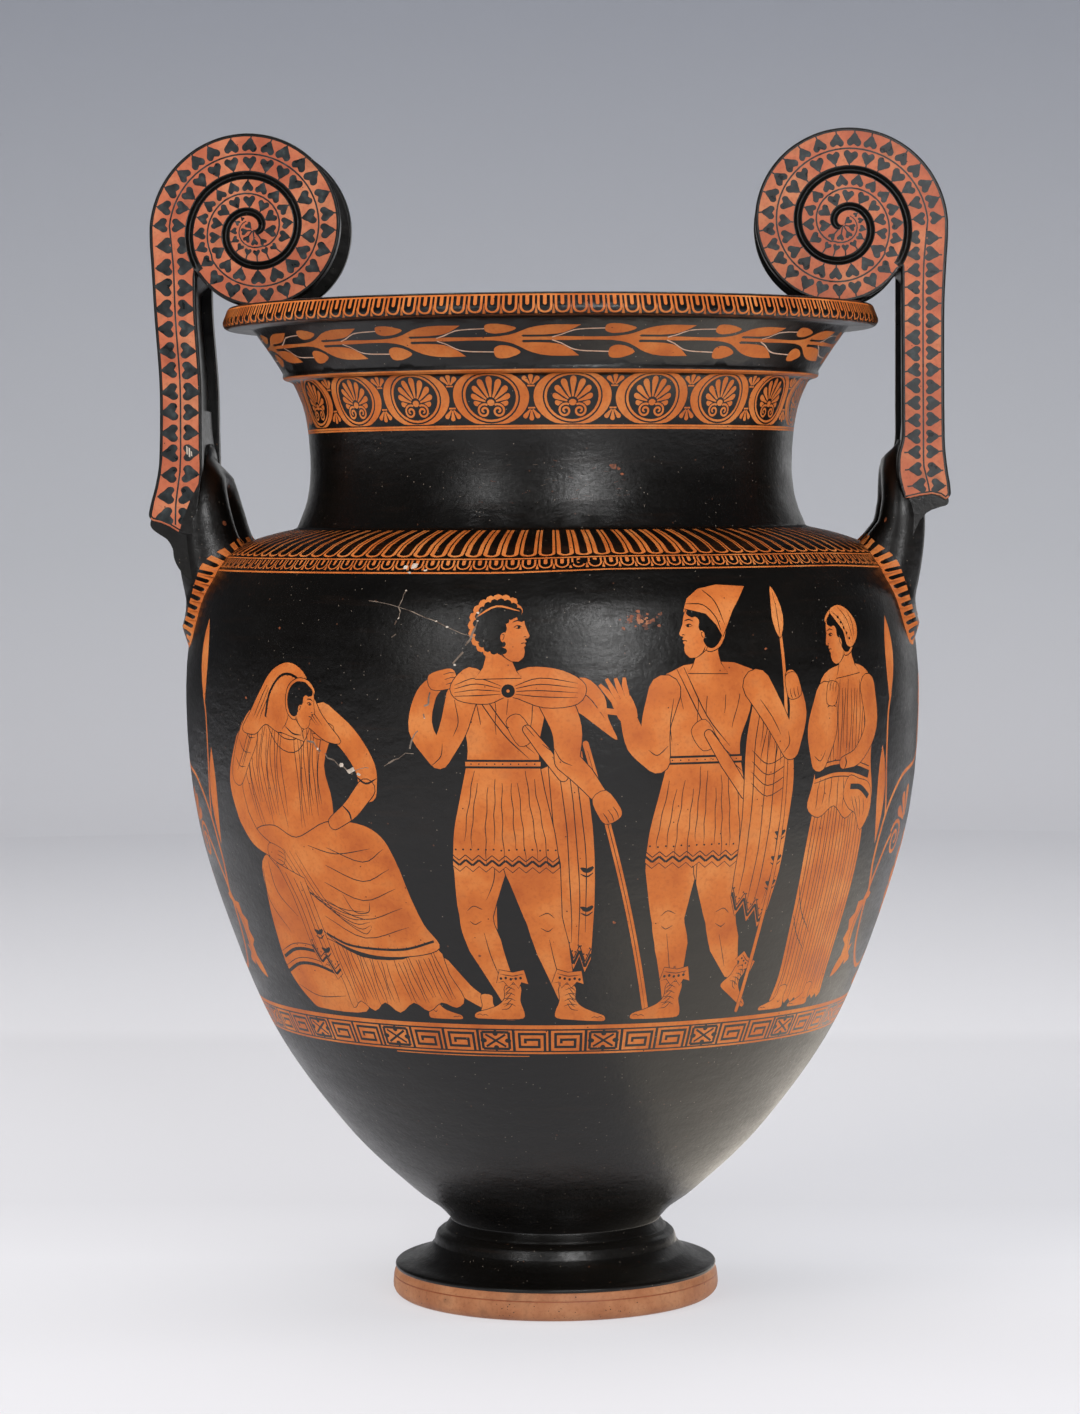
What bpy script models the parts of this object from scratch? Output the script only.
"""Volute krater: a wheel-thrown clay mixing bowl, fired in one piece.

Metres, +Z up. The origin is at the middle of the underside, on the turning axis. The two handles
stand at +X and -X. The whole pot is one solid, because it is one fired piece of clay.
"""

import math

import bmesh
import bpy
from mathutils import Matrix

MM = 0.001

# Heights of the body above the standing ring
FOOT_TORUS_HEIGHT = 17.4 * MM
FOOT_RING_Z = 36.0 * MM
STEM_Z = 45.5 * MM
SHOULDER_EDGE_Z = 436.5 * MM
NECK_BASE_Z = 460.0 * MM
NECK_WAIST_Z = 495.0 * MM
LEDGE_Z = 549.5 * MM
LIP_BOTTOM_Z = 577.0 * MM
LIP_TOP_Z = 590.0 * MM

# Radii of the body
FOOT_RADIUS = 97.7 * MM
STEM_RADIUS = 62.5 * MM
BELLY_RADIUS = 218.3 * MM
SHOULDER_EDGE_RADIUS = 201.0 * MM
NECK_BASE_RADIUS = 151.5 * MM
NECK_WAIST_RADIUS = 143.2 * MM
LEDGE_RADIUS = 159.2 * MM
LIP_ROOT_RADIUS = 175.5 * MM
LIP_RADIUS = 194.6 * MM
MOUTH_RADIUS = 169.0 * MM

# Clay thicknesses and the hollow of the foot
BELLY_WALL = 8.5 * MM
NECK_WALL = 7.5 * MM
BOWL_FLOOR_Z = 61.0 * MM
FOOT_HOLLOW_Z = 47.0 * MM
STANDING_RING_INNER = 80.0 * MM
SPIN_STEPS = 44

# Volute: centre of the spiral, and the radii of its edge and of its groove after u quarter turns
EYE_X = 173.0 * MM
EYE_Z = 635.0 * MM
GROOVE_WIDTH = 4.6 * MM
GROOVE_QUARTERS = (-0.45, 6.2)

# Handle strap: an H section, two upright flanges joined by a web
FLANGE_INNER_X = 206.5 * MM
FLANGE_OUTER_X = 231.3 * MM
FLANGE_THICKNESS = 9.0 * MM
FLANGE_FACE_Y = 40.0 * MM
FLANGE_LEAN = math.radians(2.9)
WEB_RECESS = 7.0 * MM
HEEL_X = 235.0 * MM
HEEL_Z = {1: 471.0 * MM, -1: 463.0 * MM}

# Handle loop: the round horseshoe that the strap springs from
LOOP_X = 206.0 * MM
LOOP_RADIUS = 14.6 * MM
LOOP_HALF_SPAN = 34.5 * MM
LOOP_CROWN_Z = 496.0 * MM
LOOP_SPRING_Z = 462.0 * MM
LOOP_FOOT_Z = 400.0 * MM
LOOP_FOOT_X = 190.5 * MM
LOOP_FOOT_SPREAD = 2.5 * MM
LOOP_FOOT_SWELL = 1.24


def clear_scene():
    for obj in list(bpy.data.objects):
        bpy.data.objects.remove(obj, do_unlink=True)


def new_collection(name):
    collection = bpy.data.collections.new(name)
    bpy.context.scene.collection.children.link(collection)
    return collection


def material(name, color, roughness):
    made = bpy.data.materials.new(name)
    made.use_nodes = True
    shader = made.node_tree.nodes["Principled BSDF"]
    shader.inputs["Base Color"].default_value = (*color, 1.0)
    shader.inputs["Roughness"].default_value = roughness
    shader.inputs["Metallic"].default_value = 0.0
    made.diffuse_color = (*color, 1.0)
    return made


def smooth_through(points, steps):
    """Points on a Catmull-Rom curve through the given ones, steps to each stretch."""
    first = [2 * a - b for a, b in zip(points[0], points[1])]
    last = [2 * a - b for a, b in zip(points[-1], points[-2])]
    knots = [first, *points, last]
    curve = []
    for before, start, end, after in zip(knots, knots[1:], knots[2:], knots[3:]):
        for step in range(steps):
            t = step / steps
            weights = (
                (-t + 2 * t**2 - t**3) / 2,
                (2 - 5 * t**2 + 3 * t**3) / 2,
                (t + 4 * t**2 - 3 * t**3) / 2,
                (-(t**2) + t**3) / 2,
            )
            parts = zip(before, start, end, after)
            curve.append(tuple(sum(w * p for w, p in zip(weights, row)) for row in parts))
    curve.append(tuple(points[-1]))
    return curve


def arc(center, radius, start, end, steps):
    """Points on a circular arc; angles in degrees, counted from +X towards +Z."""
    angles = [math.radians(start + (end - start) * i / steps) for i in range(steps + 1)]
    return [(center[0] + radius * math.cos(a), center[1] + radius * math.sin(a)) for a in angles]


def inset(points, distance):
    """The same line moved sideways by distance, to the left of its direction if positive."""
    moved = []
    for i, (x, z) in enumerate(points):
        ahead = points[min(i + 1, len(points) - 1)]
        behind = points[max(i - 1, 0)]
        dx, dz = ahead[0] - behind[0], ahead[1] - behind[1]
        length = math.hypot(dx, dz)
        moved.append((x - distance * dz / length, z + distance * dx / length))
    return moved


def lip_outline():
    """The overhanging lip, from its inner top edge out and down to its root under the overhang."""
    edge = 2.2 * MM
    top = LIP_TOP_Z
    return [
        (MOUTH_RADIUS, top - 1.6 * MM),
        (MOUTH_RADIUS + 2 * MM, top),
        *arc((LIP_RADIUS - 4.8 * MM, top - edge), edge, 90, 20, 2),
        *arc((LIP_RADIUS - 4 * MM, LIP_BOTTOM_Z + 4 * MM), 4 * MM, 10, -80, 3),
        (LIP_ROOT_RADIUS + 1.5 * MM, LIP_BOTTOM_Z),
    ]


def neck_outline():
    """From under the lip down the flare, over the ledge, and down the hollow neck."""
    flare = [
        (LIP_ROOT_RADIUS, LIP_BOTTOM_Z - 1.5 * MM),
        (166.6 * MM, 563.0 * MM),
        (LEDGE_RADIUS + 0.6 * MM, LEDGE_Z + 3 * MM),
    ]
    ledge = arc((LEDGE_RADIUS - 2 * MM, LEDGE_Z), 2.3 * MM, 35, -70, 2)
    hollow = [
        (153.4 * MM, 546.0 * MM),
        (147.8 * MM, 533.0 * MM),
        (144.6 * MM, 517.0 * MM),
        (NECK_WAIST_RADIUS, NECK_WAIST_Z),
        (145.4 * MM, 476.0 * MM),
        (NECK_BASE_RADIUS, NECK_BASE_Z),
    ]
    return flare + ledge + hollow


def belly_outline():
    """From the neck over the shoulder and down the belly to the stem."""
    shoulder = [
        (NECK_BASE_RADIUS + 1.5 * MM, NECK_BASE_Z - 0.6 * MM),
        (167.0 * MM, 456.2 * MM),
        (182.0 * MM, 451.4 * MM),
        (191.6 * MM, 446.2 * MM),
        (SHOULDER_EDGE_RADIUS, SHOULDER_EDGE_Z),
    ]
    belly = [
        (SHOULDER_EDGE_RADIUS, SHOULDER_EDGE_Z),
        (212.4 * MM, 413.0 * MM),
        (BELLY_RADIUS, 366.0 * MM),
        (213.6 * MM, 298.0 * MM),
        (197.0 * MM, 236.0 * MM),
        (167.0 * MM, 163.0 * MM),
        (124.5 * MM, 103.0 * MM),
        (87.0 * MM, 66.5 * MM),
        (70.5 * MM, 54.0 * MM),
        (STEM_RADIUS, STEM_Z),
    ]
    return shoulder[:-1] + smooth_through(belly, 2)


def foot_outline():
    """From the stem over the rounded collar and the dished disc, and round the torus."""
    collar = [
        (65.8 * MM, FOOT_RING_Z + 4.0 * MM),
        (69.8 * MM, FOOT_RING_Z + 2.2 * MM),
        (72.0 * MM, FOOT_RING_Z - 1.2 * MM),
        (72.4 * MM, FOOT_RING_Z - 4.4 * MM),
    ]
    disc = [
        (75.4 * MM, 27.9 * MM),
        (80.5 * MM, 24.2 * MM),
        (87.0 * MM, 21.6 * MM),
        (94.8 * MM, FOOT_TORUS_HEIGHT + 2.6 * MM),
        (96.4 * MM, FOOT_TORUS_HEIGHT + 1.0 * MM),
        (95.8 * MM, FOOT_TORUS_HEIGHT - 1.2 * MM),
        (97.2 * MM, FOOT_TORUS_HEIGHT - 3.6 * MM),
    ]
    under = 6.2 * MM
    torus = arc((FOOT_RADIUS - under, under), under, 20, -90, 5)
    return collar + disc + torus


def foot_hollow():
    """The hollow under the foot, from the standing ring up to the axis."""
    return [
        (STANDING_RING_INNER, 0.0),
        (STANDING_RING_INNER - 5 * MM, 5 * MM),
        (66.0 * MM, 17.0 * MM),
        (52.0 * MM, 33.0 * MM),
        (30.0 * MM, 43.0 * MM),
        (0.0, FOOT_HOLLOW_Z),
    ]


def inner_outline():
    """The inside of the bowl, from the middle of its floor up to the mouth."""
    flare = inset(neck_outline()[:3], -NECK_WALL)
    hollow = inset(neck_outline()[6:-1], -NECK_WALL)
    wall = inset(belly_outline(), -BELLY_WALL)
    shoulder = wall[1:4]
    bowl = [wall[4]] + [p for p in wall[5::2] if p[1] > BOWL_FLOOR_Z + 20 * MM]
    floor = [
        (0.0, BOWL_FLOOR_Z),
        (40.0 * MM, BOWL_FLOOR_Z + 2.4 * MM),
        (80.0 * MM, BOWL_FLOOR_Z + 15.0 * MM),
    ]
    return floor + (flare + hollow + shoulder + bowl)[::-1]


def lathe(name, outline, steps, collection):
    """A closed outline in the XZ plane turned about Z."""
    mesh = bpy.data.meshes.new(name)
    vertices = [(x, 0.0, z) for x, z in outline]
    mesh.from_pydata(vertices, [(i, i + 1) for i in range(len(vertices) - 1)], [])
    obj = bpy.data.objects.new(name, mesh)
    collection.objects.link(obj)
    screw = obj.modifiers.new("turned", "SCREW")
    screw.axis = "Z"
    screw.steps = steps
    screw.render_steps = steps
    screw.use_merge_vertices = True
    screw.merge_threshold = 0.00005
    return obj


def as_mesh(obj):
    """Replaces the object with one that holds the mesh it evaluates to, with its caps welded."""
    bpy.context.view_layer.update()
    graph = bpy.context.evaluated_depsgraph_get()
    mesh = bpy.data.meshes.new_from_object(obj.evaluated_get(graph))
    mesh.transform(obj.matrix_world)
    made = bpy.data.objects.new(obj.name, mesh)
    for collection in obj.users_collection:
        collection.objects.link(made)
    name = obj.name
    bpy.data.objects.remove(obj, do_unlink=True)
    made.name = name
    weld(made)
    return made


def weld(obj):
    edited = bmesh.new()
    edited.from_mesh(obj.data)
    bmesh.ops.remove_doubles(edited, verts=edited.verts, dist=0.00002)
    bmesh.ops.recalc_face_normals(edited, faces=edited.faces)
    edited.to_mesh(obj.data)
    edited.free()


def combine(obj, other, operation):
    """Leaves the Boolean of the two on the first object and hides the second."""
    boolean = obj.modifiers.new(operation.lower() + "_" + other.name, "BOOLEAN")
    boolean.operation = operation
    boolean.solver = "EXACT"
    boolean.object = other
    other.hide_render = True
    other.display_type = "WIRE"


def plate(name, outline, thickness, collection):
    """An upright plate with the XZ outline given, its thickness centred on y = 0."""
    curve = bpy.data.curves.new(name, "CURVE")
    curve.dimensions = "2D"
    curve.fill_mode = "BOTH"
    curve.extrude = thickness / 2
    spline = curve.splines.new("POLY")
    spline.points.add(len(outline) - 1)
    for point, (x, z) in zip(spline.points, outline):
        point.co = (x, z, 0.0, 1.0)
    spline.use_cyclic_u = True
    obj = bpy.data.objects.new(name, curve)
    obj.matrix_world = Matrix.Rotation(math.radians(90), 4, "X")
    collection.objects.link(obj)
    return as_mesh(obj)


def tube(name, points, radii, depth, sides, collection):
    """A round bar along the points, with its ends closed; radii scale the depth at each point."""
    curve = bpy.data.curves.new(name, "CURVE")
    curve.dimensions = "3D"
    curve.bevel_depth = depth
    curve.bevel_resolution = sides
    curve.use_fill_caps = True
    spline = curve.splines.new("POLY")
    spline.points.add(len(points) - 1)
    for point, place, radius in zip(spline.points, points, radii):
        point.co = (*place, 1.0)
        point.radius = radius
    obj = bpy.data.objects.new(name, curve)
    collection.objects.link(obj)
    return as_mesh(obj)


def edge_radius(u):
    """Radius of the volute's edge after u quarter turns, from the outer side over the top."""
    return (61.0 - 4.0 * u - 0.4 * u**2) * MM


def groove_radius(u):
    return (37.3 - 5.45 * u) * MM


def on_spiral(u, radius):
    angle = math.radians(90 * u)
    return (EYE_X + radius * math.cos(angle), EYE_Z + radius * math.sin(angle))


def volute_edge(shrink):
    """The volute's edge, from level with its eye round to where it meets the strap again."""
    last = 3.6
    steps = 26
    quarters = [last * i / steps for i in range(steps + 1)]
    return [on_spiral(u, edge_radius(u) - shrink) for u in quarters]


def flange_outline(heel_z):
    """One flange: the heel, the upright stretch and the volute, as seen from the front."""
    heel = [
        (211.0 * MM, heel_z - 4.0 * MM),
        (226.0 * MM, heel_z - 3.6 * MM),
        *arc((HEEL_X - 4.2 * MM, heel_z + 1.0 * MM), 4.2 * MM, -80, 10, 3),
        (FLANGE_OUTER_X + 1.4 * MM, heel_z + 20 * MM),
        (FLANGE_OUTER_X, heel_z + 45 * MM),
        (FLANGE_OUTER_X + 0.2 * MM, EYE_Z - 50 * MM),
        (FLANGE_OUTER_X + 1.6 * MM, EYE_Z - 22 * MM),
    ]
    inner = [
        (FLANGE_INNER_X, heel_z + 40 * MM),
        (FLANGE_INNER_X - 1.5 * MM, heel_z + 22 * MM),
    ]
    return heel + volute_edge(0.0) + inner


def web_outline(heel_z):
    """The web between the flanges, set back from their edges on both sides."""
    strap_inner = FLANGE_INNER_X + WEB_RECESS
    strap_outer = FLANGE_OUTER_X - WEB_RECESS
    edge = volute_edge(WEB_RECESS)
    meets = [p for p in edge if p[0] < strap_inner or p[1] > EYE_Z]
    return [
        (strap_inner, heel_z + 18 * MM),
        (strap_outer, heel_z + 6 * MM),
        (strap_outer, EYE_Z - 30 * MM),
        *meets,
        (strap_inner, EYE_Z - 36 * MM),
    ]


def build_flange(side_y, heel_z, collection):
    """A flange with its spiral groove cut in, leaning so that the strap widens downwards."""
    name = "flange_front" if side_y < 0 else "flange_back"
    flange = plate(name, flange_outline(heel_z), FLANGE_THICKNESS, collection)
    start, end = GROOVE_QUARTERS
    steps = 32
    quarters = [start + (end - start) * i / steps for i in range(steps + 1)]
    face_y = side_y * FLANGE_THICKNESS / 2
    route = [on_spiral(u, groove_radius(u)) for u in quarters]
    path = [(x, face_y, z) for x, z in route]
    groove = tube("groove_" + name, path, [1.0] * len(path), GROOVE_WIDTH / 2, 0, collection)
    combine(flange, groove, "DIFFERENCE")
    flange = as_mesh(flange)
    middle = side_y * (FLANGE_FACE_Y - FLANGE_THICKNESS / 2)
    lean = Matrix.Rotation(side_y * FLANGE_LEAN, 4, "X")
    about_eye = Matrix.Translation((0, middle, EYE_Z)) @ lean @ Matrix.Translation((0, 0, -EYE_Z))
    flange.data.transform(about_eye)
    return flange


def build_loop(collection):
    """The horseshoe: up from the shoulder, over the crown and down again, thicker at its feet."""
    rise = LOOP_CROWN_Z - LOOP_SPRING_Z
    arch = arc((0.0, 0.0), 1.0, 180, 0, 10)
    crown = [(LOOP_X, LOOP_HALF_SPAN * y, LOOP_SPRING_Z + rise * z) for y, z in arch]
    leg = []
    swell = []
    for t in (1.0, 0.8, 0.6, 0.4, 0.2):
        x = LOOP_X + (LOOP_FOOT_X - LOOP_X) * t**1.7
        z = LOOP_SPRING_Z + (LOOP_FOOT_Z - LOOP_SPRING_Z) * t
        leg.append((x, -LOOP_HALF_SPAN - LOOP_FOOT_SPREAD * t**1.5, z))
        swell.append(1 + (LOOP_FOOT_SWELL - 1) * t**1.5)
    far = [(x, -y, z) for x, y, z in leg[::-1]]
    radii = swell + [1.0] * len(crown) + swell[::-1]
    return tube("loop", leg + crown + far, radii, LOOP_RADIUS, 4, collection)


def build_handle(side, collection):
    """One handle, trimmed to end inside the clay of the shoulder; side is +1 or -1 along X."""
    heel_z = HEEL_Z[side]
    handle = build_loop(collection)
    handle.name = "handle_right" if side > 0 else "handle_left"
    depth = 2 * (FLANGE_FACE_Y - FLANGE_THICKNESS / 2)
    web = plate("web", web_outline(heel_z), depth, collection)
    flanges = [build_flange(side_y, heel_z, collection) for side_y in (-1, 1)]
    for piece in (web, *flanges):
        combine(handle, piece, "UNION")
    trimmer = lathe("trimmer", trimmer_outline(), 2 * SPIN_STEPS, collection)
    combine(handle, trimmer, "DIFFERENCE")
    handle = as_mesh(handle)
    if side < 0:
        handle.data.transform(Matrix.Scale(-1, 4, (1, 0, 0)))
        weld(handle)
    return handle


def trimmer_outline():
    """A solid whose skin lies in the middle of the shoulder's wall."""
    wall = inset(belly_outline(), -BELLY_WALL / 2)
    neck = [(NECK_BASE_RADIUS - 4 * MM, NECK_BASE_Z - 3 * MM)]
    kept = [p for p in wall if p[0] > NECK_BASE_RADIUS and p[1] > 250 * MM]
    return [(0.0, NECK_BASE_Z - 3 * MM)] + neck + kept + [(0.0, kept[-1][1])]


def build_krater():
    parts = new_collection("volute_krater")
    cutters = new_collection("cutters")
    outline = inner_outline() + lip_outline() + neck_outline() + belly_outline()
    outline += foot_outline() + foot_hollow()
    krater = lathe("krater", outline, SPIN_STEPS, parts)
    for side in (1, -1):
        combine(krater, build_handle(side, cutters), "UNION")
    krater.data.materials.append(material("black_gloss_clay", (0.016, 0.014, 0.012), 0.32))
    for polygon in krater.data.polygons:
        polygon.use_smooth = True
    return krater


clear_scene()
build_krater()
